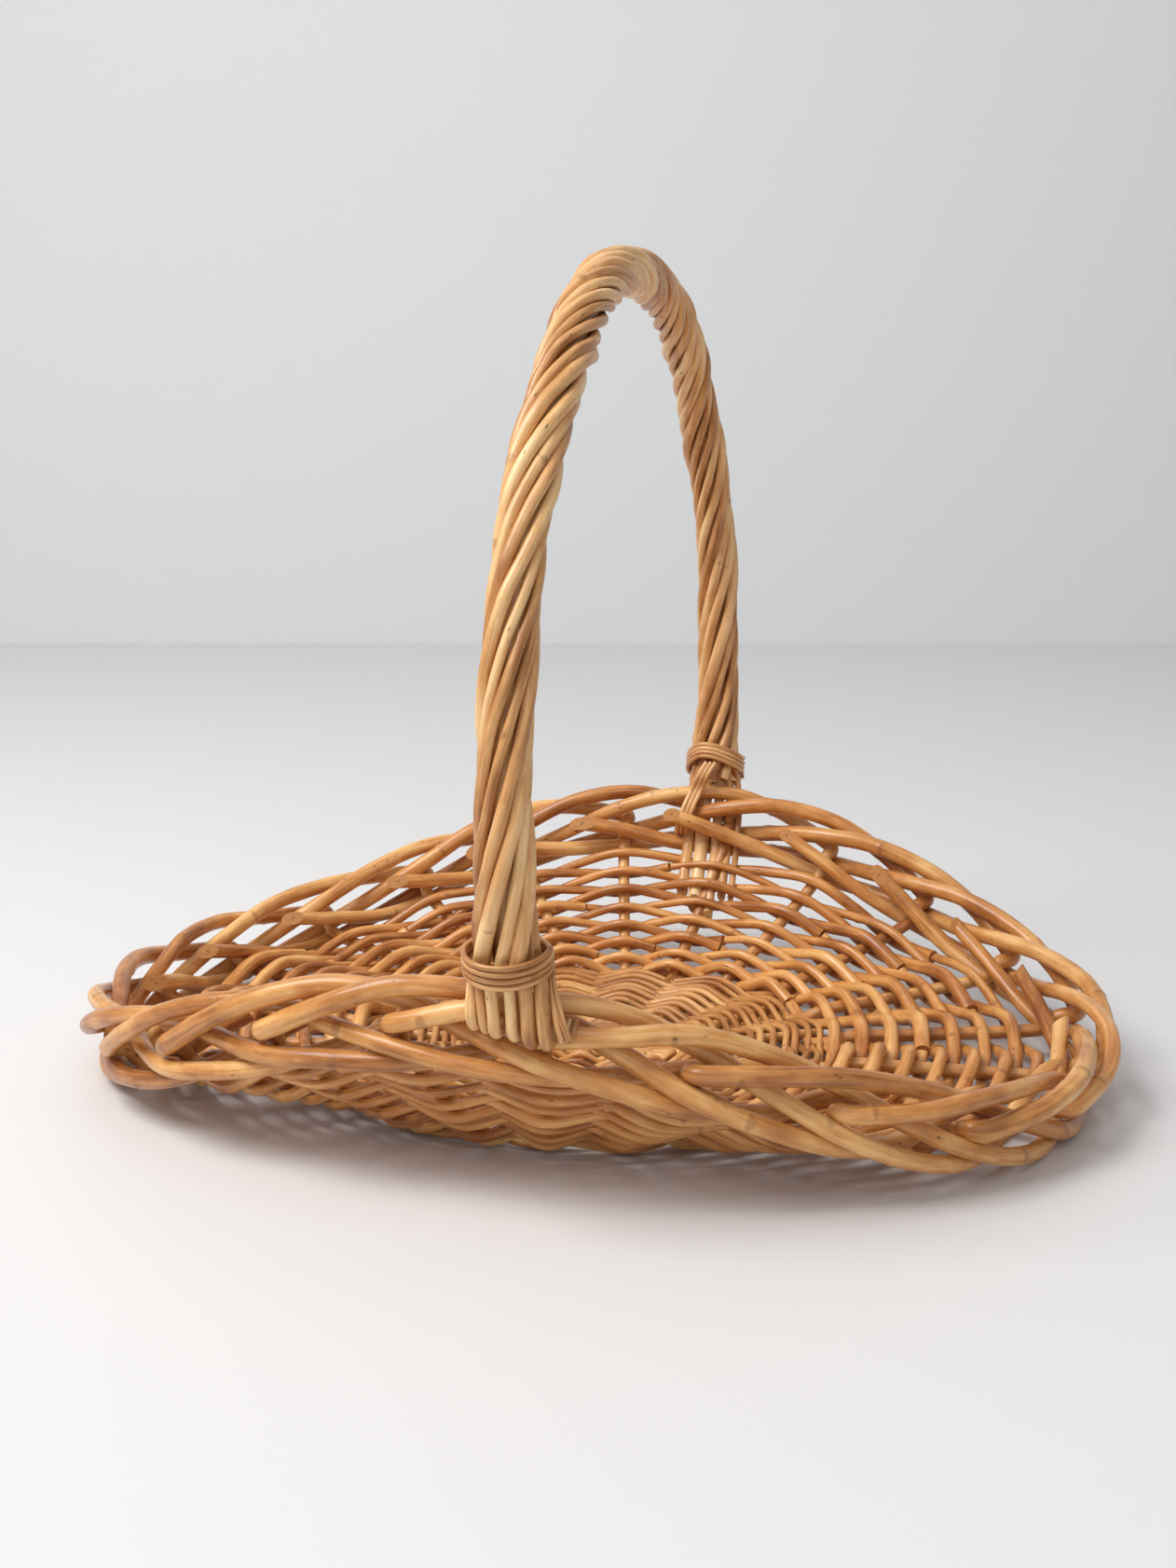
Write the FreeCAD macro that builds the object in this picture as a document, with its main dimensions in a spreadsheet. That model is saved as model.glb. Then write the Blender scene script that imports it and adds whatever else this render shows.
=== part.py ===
import FreeCAD
import Part
import math
import os

from FreeCAD import Vector

# Low oval willow basket with a fixed roped hoop handle across its short axis.
# X runs along the long axis, Y along the handle, Z up. The origin is on the
# ground under the middle of the basket. All lengths are in millimetres.

doc = FreeCAD.newDocument("wicker_basket")

# ---------------------------------------------------------------- dimensions

SIZES = [
    ("rim_half_length", 250), ("rim_half_width", 200), ("rim_roundness", 2.14),
    ("rim_mean_height", 64.2), ("rim_swing", 28.4), ("rim_second_swing", 6),
    ("rim_twist", 4), ("rim_ripple", 1.5), ("rim_side_lift", 5), ("rim_end_lift", 0.5),
    ("border_height", 30.5), ("border_inset", 18.5),
    ("border_lean", 32), ("border_lean_swing", 12),
    ("base_half_length", 120), ("base_half_width", 129), ("base_thickness", 11.6),
    ("long_stick_count", 3), ("cross_stick_count", 5),
    ("stick_diameter", 6), ("cross_stick_diameter", 8.4),
    ("long_stick_gap", 7), ("cross_stick_gap", 15), ("stick_clearance", 0.4),
    ("stake_count", 22), ("stake_diameter", 6.5), ("stake_phase", -0.13),
    ("wall_start_height", 9), ("wall_curve", 1.15),
    ("row_count", 13), ("weaver_diameter", 4.4), ("first_row_share", 0.07),
    ("row_step_share", 0.068), ("weave_clearance", 0.3), ("float_shift_share", 0.015),
    ("handle_height", 398), ("handle_half_width", 207), ("handle_foot_half_width", 197),
    ("handle_spring_height", 159), ("handle_shift", 21), ("handle_skew", 9),
    ("bow_diameter", 11), ("strand_count", 9), ("strand_diameter", 5.3),
    ("strand_pitch", 158), ("collar_rod_diameter", 3.6), ("collar_turns", 3),
    ("foot_rod_diameter", 5),
]

sheet = doc.addObject("Spreadsheet::Sheet", "dimensions")
for line, (name, value) in enumerate(SIZES, start=1):
    sheet.set("A%d" % line, name)
    sheet.set("B%d" % line, str(value))
    sheet.setAlias("B%d" % line, name)
doc.recompute()


def size(name):
    """One driving dimension, read back from the sheet."""
    return float(getattr(sheet, name))


# ---------------------------------------------------------------- rods

def rounded_path(points, bend_share):
    """Straight runs between the points, joined by tangent arcs.

    Each arc takes up bend_share of the shorter run beside it.
    """
    edges = []
    start = points[0]
    for before, corner, after in zip(points, points[1:], points[2:]):
        run_in = corner - before
        run_out = after - corner
        turn = run_in.getAngle(run_out)
        if turn < 0.01:
            continue
        reach = bend_share * min(run_in.Length, run_out.Length)
        inward = run_in.normalize()
        outward = run_out.normalize()
        arc_start = corner - inward * reach
        arc_end = corner + outward * reach
        radius = reach / math.tan(turn / 2)
        bisector = (outward - inward).normalize()
        arc_middle = corner + bisector * (radius / math.cos(turn / 2) - radius)
        edges.append(Part.LineSegment(start, arc_start).toShape())
        edges.append(Part.Arc(arc_start, arc_middle, arc_end).toShape())
        start = arc_end
    edges.append(Part.LineSegment(start, points[-1]).toShape())
    return Part.Wire(edges)


def rod(points, diameter, bend_share=0.45):
    """A round rod of one thickness along the points."""
    path = rounded_path(points, bend_share)
    direction = points[1] - points[0]
    ring = Part.Wire([Part.Circle(points[0], direction, diameter / 2).toShape()])
    solid = path.makePipeShell([ring], True, False)
    expected = path.Length * math.pi * diameter ** 2 / 4
    if abs(solid.Volume / expected - 1) > 0.02:
        print("rod volume is off by", round(solid.Volume / expected - 1, 3))
    return solid


pieces = []


def add_piece(name, shape):
    """Put a finished solid into the document under its node name."""
    feature = doc.addObject("Part::Feature", name)
    feature.Label = name
    feature.Shape = shape
    feature.Placement = FreeCAD.Placement()
    pieces.append(feature)
    return feature


# ---------------------------------------------------------------- overall form

def oval(angle, half_length, half_width, roundness):
    """Point of a rounded oval in plan."""
    power = 2 / roundness
    c = math.cos(angle)
    s = math.sin(angle)
    return Vector(half_length * math.copysign(abs(c) ** power, c),
                  half_width * math.copysign(abs(s) ** power, s), 0)


def rim_height(angle):
    """Top of the border: high at the handle, low at the two ends, and a little uneven."""
    even = size("rim_second_swing") * math.cos(4 * angle) - size("rim_swing") * math.cos(2 * angle)
    twisted = size("rim_twist") * math.sin(2 * angle) - size("rim_ripple") * math.sin(4 * angle)
    tilted = size("rim_side_lift") * math.sin(angle) + size("rim_end_lift") * math.cos(angle)
    return size("rim_mean_height") + even + twisted + tilted


def rim_line(angle):
    """Where the stakes enter the border."""
    inset = size("border_inset")
    point = oval(angle, size("rim_half_length") - inset,
                 size("rim_half_width") - inset, size("rim_roundness"))
    point.z = rim_height(angle) - size("border_height")
    return point


def base_line(angle):
    """Edge of the woven base."""
    return oval(angle, size("base_half_length"), size("base_half_width"), 2)


def wall_point(angle, share):
    """Point on the middle of the wall, from the base edge (0) to the border (1)."""
    low = base_line(angle)
    high = rim_line(angle)
    point = low + (high - low) * share
    start = size("wall_start_height")
    point.z = start + (high.z - start) * share ** size("wall_curve")
    return point


def wall_normal(angle, share):
    """Unit vector out of the wall, away from the bowl."""
    step = 0.01
    around = wall_point(angle + step, share) - wall_point(angle - step, share)
    up = wall_point(angle, share + step) - wall_point(angle, share - step)
    return around.cross(up).normalize()


def rim_outward(angle):
    """Level unit vector square to the rim in plan."""
    step = 0.01
    along = rim_line(angle + step) - rim_line(angle - step)
    return Vector(along.y, -along.x, 0).normalize()


def evenly_spaced_angles(count, phase):
    """Angles that part the rim into equal lengths."""
    steps = 3600
    angles = [2 * math.pi * i / steps for i in range(steps + 1)]
    lengths = [0.0]
    for a, b in zip(angles, angles[1:]):
        lengths.append(lengths[-1] + (rim_line(b) - rim_line(a)).Length)

    def angle_at(place):
        turns = math.floor(place / count)
        target = (place / count - turns) * lengths[-1]
        index = next(i for i, length in enumerate(lengths) if length >= target)
        return angles[index] + turns * 2 * math.pi

    return lambda place: angle_at(place + phase)


stake_angle = evenly_spaced_angles(int(size("stake_count")), size("stake_phase"))


# ---------------------------------------------------------------- base

root_length = 10
stick_setback = root_length + 3

def stick_route(along, offset, middle_length, angle):
    """A base stick: straight through the middle, fanned out at both ends."""
    level = size("base_thickness") / 2
    tip = oval(angle, size("base_half_length") - stick_setback, size("base_half_width") - stick_setback, 2)
    if along == "x":
        mirror = Vector(-tip.x, tip.y, 0)
        middle = [Vector(middle_length, offset, 0), Vector(-middle_length, offset, 0)]
    else:
        mirror = Vector(tip.x, -tip.y, 0)
        middle = [Vector(offset, middle_length, 0), Vector(offset, -middle_length, 0)]
    lift = Vector(0, 0, level)
    return [tip + lift, middle[0] + lift, middle[1] + lift, mirror + lift]


stick_bend_share = 0.12
long_count = int(size("long_stick_count"))
cross_count = int(size("cross_stick_count"))
fan_step = math.pi / (long_count + cross_count)
slath_half_length = size("cross_stick_gap") * (cross_count - 1) / 2 + 9
slath_half_width = size("long_stick_gap") * (long_count - 1) / 2 + 7

long_routes = []
for index in range(long_count):
    place = index - (long_count - 1) / 2
    route = stick_route("x", place * size("long_stick_gap"), slath_half_length, place * fan_step)
    long_routes.append(route)
    add_piece("base_long_stick_%d" % (index + 1), rod(route, size("stick_diameter"), stick_bend_share))

# The cross sticks are split in the middle and the long sticks pass through the slit.
slit_height = size("stick_diameter") + 0.2
slit = Part.makeBox(slath_half_length * 2, slath_half_width * 2 - 7, slit_height,
                    Vector(-slath_half_length, 3.5 - slath_half_width,
                           size("base_thickness") / 2 - slit_height / 2))
cross_routes = []
for index in range(cross_count):
    place = index - (cross_count - 1) / 2
    route = stick_route("y", place * size("cross_stick_gap"), slath_half_width,
                        math.pi / 2 - place * fan_step)
    cross_routes.append(route)
    stick = rod(route, size("cross_stick_diameter"), stick_bend_share)
    add_piece("base_cross_stick_%d" % (index + 1), stick.cut(slit))

outline = doc.addObject("Part::Ellipse", "base_outline")
# The base is a little wider across than it is long, so its long radius is turned onto Y.
outline.setExpression("MajorRadius", "dimensions.base_half_width")
outline.setExpression("MinorRadius", "dimensions.base_half_length")
outline.Placement = FreeCAD.Placement(Vector(0, 0, 0), FreeCAD.Rotation(Vector(0, 0, 1), 90))
slab = doc.addObject("Part::Extrusion", "base_slab")
slab.Base = outline
slab.DirMode = "Custom"
slab.Dir = Vector(0, 0, 1)
slab.Solid = True
slab.setExpression("LengthFwd", "dimensions.base_thickness")

def stake_root(index):
    """The butt of a stake, pushed in beside the base sticks."""
    angle = stake_angle(index)
    edge = base_line(angle)
    inward = edge * (-1)
    inward.normalize()
    edge.z = size("base_thickness") / 2
    return [edge + inward * root_length, edge + inward * 1]


clearance = size("stick_clearance")
channel_shapes = []
for route in long_routes:
    channel_shapes.append(rod(route, size("stick_diameter") + clearance, stick_bend_share))
for route in cross_routes:
    channel_shapes.append(rod(route, size("cross_stick_diameter") + clearance, stick_bend_share))
for index in range(int(size("stake_count"))):
    inner, edge = stake_root(index)
    direction = edge - inner
    bore_start = inner - direction * 0.02
    bore_radius = (size("stake_diameter") + clearance) / 2
    channel_shapes.append(Part.makeCylinder(bore_radius, direction.Length + 8, bore_start, direction))
channels = doc.addObject("Part::Feature", "base_channels")
channels.Shape = channel_shapes[0].multiFuse(channel_shapes[1:])
channels.Placement = FreeCAD.Placement()

base_weave = doc.addObject("Part::Cut", "base_weave")
base_weave.Label = "base_weave"
base_weave.Base = slab
base_weave.Tool = channels
pieces.append(base_weave)


# ---------------------------------------------------------------- stakes and border

# Each stake folds over and travels past the stakes that follow it. A stop on its way
# is (stakes passed, height in the border, distance out from the stake line), measured
# in the border before it leans outwards with the flare of the side.
BORDER_ROUTE = [
    (0.0, 2, 0), (0.0, 17.8, 2.8), (0.6, 26.7, 3.0), (1.0, 30.5, -1.2), (1.5, 27.5, -5.5),
    (2.0, 20.5, -5.5), (2.5, 13.9, 1.5), (3.0, 8.8, 10.2), (3.5, 4.3, 11.8), (4.0, 0.2, 8.6),
    (4.5, 0.5, 0.8), (5.0, 7.0, -9.5), (5.45, 13.0, -12.5),
]


def border_point(place, height, outset):
    """A stop in the border, from a place counted in stakes."""
    angle = stake_angle(place)
    lean = math.radians(size("border_lean") + size("border_lean_swing") * math.cos(2 * angle))
    leant_outset = outset * math.cos(lean) + height * math.sin(lean)
    point = rim_line(angle) + rim_outward(angle) * leant_outset
    point.z = point.z + height * math.cos(lean) - outset * math.sin(lean)
    return point


def stake_route(index):
    """From the butt in the base, up the wall and along the border to the tip."""
    angle = stake_angle(index)
    route = stake_root(index)
    route += [wall_point(angle, share) for share in (0.09, 0.3, 0.5, 0.7, 0.87)]
    route += [border_point(index + passed, height, outset) for passed, height, outset in BORDER_ROUTE]
    return route


for index in range(int(size("stake_count"))):
    name = "stake_%02d" % (index + 1)
    add_piece(name, rod(stake_route(index), size("stake_diameter")))


# ---------------------------------------------------------------- side weave

weave_bend_share = 0.35


def weave_row(row):
    """One row of weaving: in front of one stake and behind the next."""
    share = size("first_row_share") + row * size("row_step_share")
    reach = (size("stake_diameter") + size("weaver_diameter")) / 2 + size("weave_clearance")
    # The arcs cut the corners, so the corners stand out further than the rod does.
    corner_reach = reach / (1 - weave_bend_share / 2)
    points = [wall_point(stake_angle(-0.45), share)]
    for index in range(int(size("stake_count"))):
        angle = stake_angle(index)
        side = 1 if (index + row) % 2 else -1
        # A rod rides up where it passes inside a stake and down where it passes outside.
        float_share = share - side * size("float_shift_share")
        points.append(wall_point(angle, float_share) + wall_normal(angle, float_share) * side * corner_reach)
        between = 0.45 if index == size("stake_count") - 1 else 0.5
        points.append(wall_point(stake_angle(index + between), share))
    return rod(points, size("weaver_diameter"), weave_bend_share)


for row in range(int(size("row_count"))):
    add_piece("side_weave_row_%02d" % (row + 1), weave_row(row))


# ---------------------------------------------------------------- handle

roped_radius = size("bow_diameter") / 2 + size("strand_diameter")
crown_height = size("handle_height") - roped_radius
foot_rise = 3


def bow_point(share):
    """Middle of the handle, from the foot at -Y (0) over the crown to the foot at +Y (1)."""
    side = math.copysign(1, share - 0.5)
    spring = size("handle_spring_height")
    half_width = size("handle_half_width")
    leg = spring - rim_height(side * math.pi / 2) - foot_rise
    half_arch = math.pi / 2 * (half_width + crown_height - spring) / 2
    travel = abs(share - 0.5) * 2 * (half_arch + leg)
    if travel <= half_arch:
        turn = travel / half_arch * math.pi / 2
        y = half_width * math.sin(turn)
        z = spring + (crown_height - spring) * math.cos(turn)
    else:
        down = (travel - half_arch) / leg
        y = half_width - (half_width - size("handle_foot_half_width")) * down ** 2
        z = spring - leg * down
    x = size("handle_shift") + size("handle_skew") * side * y / half_width
    return Vector(x, side * y, z)


bow_steps = 48
bow_route = [bow_point(i / bow_steps) for i in range(bow_steps + 1)]
add_piece("handle_bow", rod(bow_route, size("bow_diameter")))

bow_length = rounded_path(bow_route, 0.45).Length
strand_turns = bow_length / size("strand_pitch")
points_per_turn = 10
foot_gap_share = 9 / bow_length


def bow_side(share, turn, radius):
    """Point beside the bow, turned about it."""
    step = 0.002
    centre = bow_point(share)
    along = (bow_point(share + step) - bow_point(share - step)).normalize()
    across = Vector(1, 0, 0)
    out = along.cross(across)
    return centre + across * (math.cos(turn) * radius) + out * (math.sin(turn) * radius)


def handle_strand(index):
    """One rod of the roping, laid round the bow as a right-hand screw."""
    radius = size("bow_diameter") / 2 + size("strand_diameter") / 2 + 0.6
    start = 2 * math.pi * index / size("strand_count")
    steps = int(strand_turns * points_per_turn)
    route = []
    for step in range(steps + 1):
        share = foot_gap_share + (1 - 2 * foot_gap_share) * step / steps
        route.append(bow_side(share, start + 2 * math.pi * strand_turns * share, radius))
    return rod(route, size("strand_diameter"))


for index in range(int(size("strand_count"))):
    add_piece("handle_strand_%02d" % (index + 1), handle_strand(index))


# ---------------------------------------------------------------- handle feet

def collar(share_of_middle):
    """A thin rod wound round the foot of the handle."""
    radius = roped_radius + size("collar_rod_diameter") / 2 + 1.2
    turns = int(size("collar_turns"))
    steps = turns * 12
    climb = (size("collar_rod_diameter") + 0.4) / bow_length
    route = []
    for step in range(steps + 1):
        travelled = step / 12
        share = share_of_middle + (travelled - turns / 2) * climb
        route.append(bow_side(share, 2 * math.pi * travelled, radius))
    return rod(route, size("collar_rod_diameter"))


collar_share = 16 / bow_length
add_piece("near_collar", collar(collar_share))
add_piece("far_collar", collar(1 - collar_share))


def foot_rod(side, offset):
    """A rod of the roping that runs down over the border and turns in under it."""
    x = size("handle_shift") + size("handle_skew") * side + offset
    line = rim_line(side * math.pi / 2)
    reach = abs(line.y) + (size("foot_rod_diameter") + size("stake_diameter")) / 2 + 13.4
    levels = [(reach - 2, 36), (reach, 26), (reach, 4), (reach - 5, -8.5), (reach - 10, -9.5)]
    return rod([Vector(x, side * out, line.z + up) for out, up in levels], size("foot_rod_diameter"))


near_offsets = [-8.5, 8.5]
for index, offset in enumerate(near_offsets):
    add_piece("near_foot_rod_%d" % (index + 1), foot_rod(-1, offset))
far_offsets = [-8.5, 8.5]
for index, offset in enumerate(far_offsets):
    add_piece("far_foot_rod_%d" % (index + 1), foot_rod(1, offset))

# ---------------------------------------------------------------- check and write

doc.recompute()
for item in doc.Objects:
    if "Invalid" in item.State or "Error" in item.State:
        raise RuntimeError("failed object: " + item.Name)
for piece in pieces:
    if piece.Shape.isNull() or not piece.Shape.isValid() or not piece.Shape.Solids:
        raise RuntimeError("bad shape: " + piece.Label)
    if len(piece.Shape.Solids) != 1:
        print(piece.Label, "has", len(piece.Shape.Solids), "solids")

os.makedirs("parts", exist_ok=True)
for piece in pieces:
    piece.Shape.exportStep(os.path.join("parts", piece.Label + ".step"))
print("wrote", len(pieces), "parts")
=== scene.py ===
import math
import random

import bpy
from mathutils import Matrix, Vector


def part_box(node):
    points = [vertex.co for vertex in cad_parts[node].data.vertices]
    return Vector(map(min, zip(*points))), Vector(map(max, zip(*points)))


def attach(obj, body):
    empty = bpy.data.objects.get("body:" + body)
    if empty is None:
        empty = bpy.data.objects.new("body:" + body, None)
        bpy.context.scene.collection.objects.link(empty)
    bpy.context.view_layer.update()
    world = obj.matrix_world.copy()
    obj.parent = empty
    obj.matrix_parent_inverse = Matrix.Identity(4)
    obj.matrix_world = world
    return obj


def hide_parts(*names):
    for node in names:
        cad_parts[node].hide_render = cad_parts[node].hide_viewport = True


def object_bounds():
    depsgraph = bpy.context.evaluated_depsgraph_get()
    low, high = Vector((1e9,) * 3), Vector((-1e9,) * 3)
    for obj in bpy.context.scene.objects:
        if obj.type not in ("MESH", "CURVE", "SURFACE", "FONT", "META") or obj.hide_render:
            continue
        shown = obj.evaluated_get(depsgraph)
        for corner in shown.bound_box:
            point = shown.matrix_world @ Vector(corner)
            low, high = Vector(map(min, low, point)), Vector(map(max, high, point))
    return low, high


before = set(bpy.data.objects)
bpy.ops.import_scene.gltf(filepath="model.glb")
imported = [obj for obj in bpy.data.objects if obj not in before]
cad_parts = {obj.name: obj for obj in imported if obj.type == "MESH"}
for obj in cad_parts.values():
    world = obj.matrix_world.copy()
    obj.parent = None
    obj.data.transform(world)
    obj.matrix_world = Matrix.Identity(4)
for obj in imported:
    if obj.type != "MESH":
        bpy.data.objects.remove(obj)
cad_low, cad_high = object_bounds()
MM = 0.001

# ------------------------------------------------------------------ base sticks
# Three long willow sticks run through the slit middles of five cross sticks, and all
# of them fan out to the edge of the oval base. They are peeled, honey-coloured rods.

slab_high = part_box("base_weave")[1]
BASE_HALF_LENGTH = slab_high[0]
BASE_HALF_WIDTH = slab_high[1]
BASE_LEVEL = slab_high[2] / 2
LONG_STICKS = 3
CROSS_STICKS = 5
STICK_GIRTH = 2.7 * MM
STICK_SETBACK = 3 * MM
LONG_STICK_GAP = 7 * MM
CROSS_STICK_GAP = 15 * MM


class Signal:
    """A node socket that can be used in sums; each sum adds a Math node to its tree."""

    def __init__(self, tree, owner=None, output=0):
        self.tree = tree
        self.owner = owner
        self.socket = owner.outputs[output] if owner else None

    def make(self, kind, settings=None, inputs=None, output=0):
        """Adds a node: its settings first, then the value or link of each socket."""
        node = self.tree.nodes.new(kind)
        for name, value in (settings or {}).items():
            if name == "stops":
                ramp = node.color_ramp.elements
                while len(ramp) < len(value):
                    ramp.new(0.5)
                for stop, (place, colour) in zip(ramp, value):
                    stop.position = place
                    stop.color = (*colour, 1)
            else:
                setattr(node, name, value)
        for name, value in (inputs or {}).items():
            if isinstance(value, Signal):
                self.tree.links.new(value.socket, node.inputs[name])
            else:
                node.inputs[name].default_value = value
        return Signal(self.tree, node, output)

    def math(self, operation, *others):
        values = dict(enumerate((self,) + others))
        return self.make("ShaderNodeMath", {"operation": operation}, values)

    def turned(self, operation, other):
        return self.make("ShaderNodeMath", {"operation": operation}, {0: other, 1: self})

    def __add__(self, other):
        return self.math("ADD", other)

    def __sub__(self, other):
        return self.math("SUBTRACT", other)

    def __mul__(self, other):
        return self.math("MULTIPLY", other)

    def __truediv__(self, other):
        return self.math("DIVIDE", other)

    def __rsub__(self, other):
        return self.turned("SUBTRACT", other)

    def __rtruediv__(self, other):
        return self.turned("DIVIDE", other)

    __radd__ = __add__
    __rmul__ = __mul__

    def clamped(self):
        return self.math("MAXIMUM", 0.0).math("MINIMUM", 1.0)

    def between(self, low, high):
        """0 at low, 1 at high, smooth on the way."""
        part = ((self - low) / (high - low)).clamped()
        return part * part * (3 - 2 * part)

    def scattered(self, step):
        """A number from 0 to 1 that jumps about as this one grows."""
        return (self * step).math("FRACT")

    def vector(self, operation, other, output=0):
        return self.make("ShaderNodeVectorMath", {"operation": operation}, {0: self, 1: other}, output)

    def scaled(self, factor):
        return self.make("ShaderNodeVectorMath", {"operation": "SCALE"}, {0: self, "Scale": factor})

    def mixed(self, colour, factor, blend="MIX"):
        """This colour with another laid over it."""
        settings = {"data_type": "RGBA", "blend_type": blend, "clamp_factor": True}
        return self.make("ShaderNodeMix", settings, {0: factor, 6: self, 7: colour}, 2)


def named(flow, name, kind="FLOAT"):
    """A field stored on the rods under this name."""
    return flow.make("GeometryNodeInputNamedAttribute", {"data_type": kind}, {"Name": name})


WANDERS_PER_METRE = 17
LUMPS_PER_WANDER = 4.0
LUMP_SWELL = 2.2
BUD_SWELL = 0.35
BUD_BOSS = 2.0
BUD_TURN = 2.4
SHORTEST_BUD = 1.5 * MM
BUD_LENGTH_SPREAD = 3.2 * MM
CUT_LENGTH = 16 * MM
CAP_FACING = 0.45
GRAIN_RADIUS = 4.5 * MM


def rod_tree():
    """Geometry Nodes that turn routes into willow rods: bent, swelling at the buds, cut at the tip."""
    tree = bpy.data.node_groups.new("willow rod", "GeometryNodeTree")
    sockets = [
        ("Routes", "NodeSocketGeometry"), ("Sides", "NodeSocketInt"), ("Spacing", "NodeSocketFloat"),
        ("Crook", "NodeSocketFloat"), ("Swelling", "NodeSocketFloat"), ("Bud Gap", "NodeSocketFloat"),
        ("Finish", "NodeSocketMaterial"),
    ]
    for name, kind in sockets:
        tree.interface.new_socket(name=name, in_out="INPUT", socket_type=kind)
    tree.interface.new_socket(name="Rods", in_out="OUTPUT", socket_type="NodeSocketGeometry")
    start = tree.nodes.new("NodeGroupInput")
    given = {name: Signal(tree, start, name) for name, _ in sockets}
    flow = given["Routes"]

    curve = flow.make("GeometryNodeMeshToCurve", None, {"Mesh": flow})
    curve = flow.make("GeometryNodeCurveSplineType", {"spline_type": "CATMULL_ROM"}, {"Curve": curve})
    curve = flow.make("GeometryNodeResampleCurve", {"mode": "LENGTH"},
                      {"Curve": curve, "Length": given["Spacing"]})

    def store(geometry, name, value, kind="FLOAT"):
        return flow.make("GeometryNodeStoreNamedAttribute", {"data_type": kind, "domain": "POINT"},
                         {"Geometry": geometry, "Name": name, "Value": value})

    tone = named(flow, "tone")
    along = flow.make("GeometryNodeSplineParameter", output="Length")
    length = flow.make("GeometryNodeSplineLength", output="Length")
    curve = store(curve, "along", along)
    curve = store(curve, "to_end", length - along)

    # A slow wander of the line, different on every rod.
    place = flow.make("ShaderNodeCombineXYZ", None,
                      {0: along * WANDERS_PER_METRE, 1: tone * 91, 2: tone * 37})
    wander = flow.make("ShaderNodeTexNoise", {"noise_dimensions": "3D"},
                       {"Vector": place, "Scale": 1.0, "Detail": 1.0}, "Color")
    wander = wander.vector("SUBTRACT", (0.5, 0.5, 0.5)).scaled(given["Crook"])
    curve = flow.make("GeometryNodeSetPosition", None, {"Geometry": curve, "Offset": wander})

    # Buds sit at uneven gaps, each further round the rod than the last and of its own size.
    step = along / given["Bud Gap"] + tone * 13
    number = step.math("FLOOR") + tone * 50
    bud_place = step.math("FRACT") - 0.3 - 0.4 * number.scattered(0.618)
    bud_reach = SHORTEST_BUD + BUD_LENGTH_SPREAD * number.scattered(0.377)
    bud = 1 - (bud_place * given["Bud Gap"] / bud_reach).math("ABSOLUTE").between(0.0, 1.0)
    curve = store(curve, "bud", bud)
    curve = store(curve, "bud_side", number * BUD_TURN)
    lumps = flow.make("ShaderNodeTexNoise", {"noise_dimensions": "3D"},
                      {"Vector": place, "Scale": LUMPS_PER_WANDER, "Detail": 1.0}) - 0.5
    swell = lumps * LUMP_SWELL + bud * BUD_SWELL
    girth = named(flow, "girth") * (1 + given["Swelling"] * swell)
    curve = store(curve, "heading", flow.make("GeometryNodeInputTangent"), "FLOAT_VECTOR")
    curve = store(curve, "axis", flow.make("GeometryNodeInputPosition"), "FLOAT_VECTOR")

    ring = flow.make("GeometryNodeCurvePrimitiveCircle", {"mode": "RADIUS"},
                     {"Resolution": given["Sides"], "Radius": 1.0})
    ring = store(ring, "round", flow.make("GeometryNodeInputPosition"), "FLOAT_VECTOR")
    tube = flow.make("GeometryNodeCurveToMesh", None,
                     {"Curve": curve, "Profile Curve": ring, "Scale": girth, "Fill Caps": True})

    # The tip is cut on the slant, so the side of the cut is drawn back along the rod.
    arm = flow.make("GeometryNodeInputPosition").vector("SUBTRACT", named(flow, "axis", "FLOAT_VECTOR"))
    reach = arm.vector("DOT_PRODUCT", named(flow, "cut_side", "FLOAT_VECTOR"), "Value")
    near_tip = 1 - (named(flow, "to_end") / CUT_LENGTH).clamped()
    draw_back = reach * named(flow, "cut_slant") * near_tip * -1.0
    shift = named(flow, "heading", "FLOAT_VECTOR").scaled(draw_back)

    # The bark stands out on the side that the bud is on.
    bud_side = named(flow, "bud_side")
    bud_way = flow.make("ShaderNodeCombineXYZ", None, {0: bud_side.math("COSINE"), 1: bud_side.math("SINE")})
    facing_bud = named(flow, "round", "FLOAT_VECTOR").vector("DOT_PRODUCT", bud_way, "Value")
    facing_bud = facing_bud.between(0.3, 1.0)
    boss = arm.scaled(facing_bud * named(flow, "bud") * given["Swelling"] * BUD_BOSS)
    shift = shift.vector("ADD", boss)
    tube = flow.make("GeometryNodeSetPosition", None, {"Geometry": tube, "Offset": shift})

    # Caps are the faces that look along the rod.
    heading = named(flow, "heading", "FLOAT_VECTOR")
    facing = flow.make("GeometryNodeInputNormal").vector("DOT_PRODUCT", heading, "Value")
    cap = facing.math("ABSOLUTE").math("GREATER_THAN", CAP_FACING)
    tube = flow.make("GeometryNodeStoreNamedAttribute", {"data_type": "FLOAT", "domain": "FACE"},
                     {"Geometry": tube, "Name": "cut_face", "Value": cap})
    round_vector = named(flow, "round", "FLOAT_VECTOR").scaled(GRAIN_RADIUS)
    grain = round_vector.vector("ADD", flow.make("ShaderNodeCombineXYZ", None, {2: named(flow, "along")}))
    tube = store(tube, "grain", grain, "FLOAT_VECTOR")
    tube = flow.make("GeometryNodeSetShadeSmooth", {"domain": "FACE"},
                     {"Geometry": tube, "Shade Smooth": 1 - cap})
    tube = flow.make("GeometryNodeRealizeInstances", None, {"Geometry": tube})
    tube = flow.make("GeometryNodeSetMaterial", None, {"Geometry": tube, "Material": given["Finish"]})
    end = tree.nodes.new("NodeGroupOutput")
    tree.links.new(tube.socket, end.inputs["Rods"])
    return tree


ROD_TREE = rod_tree()

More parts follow.
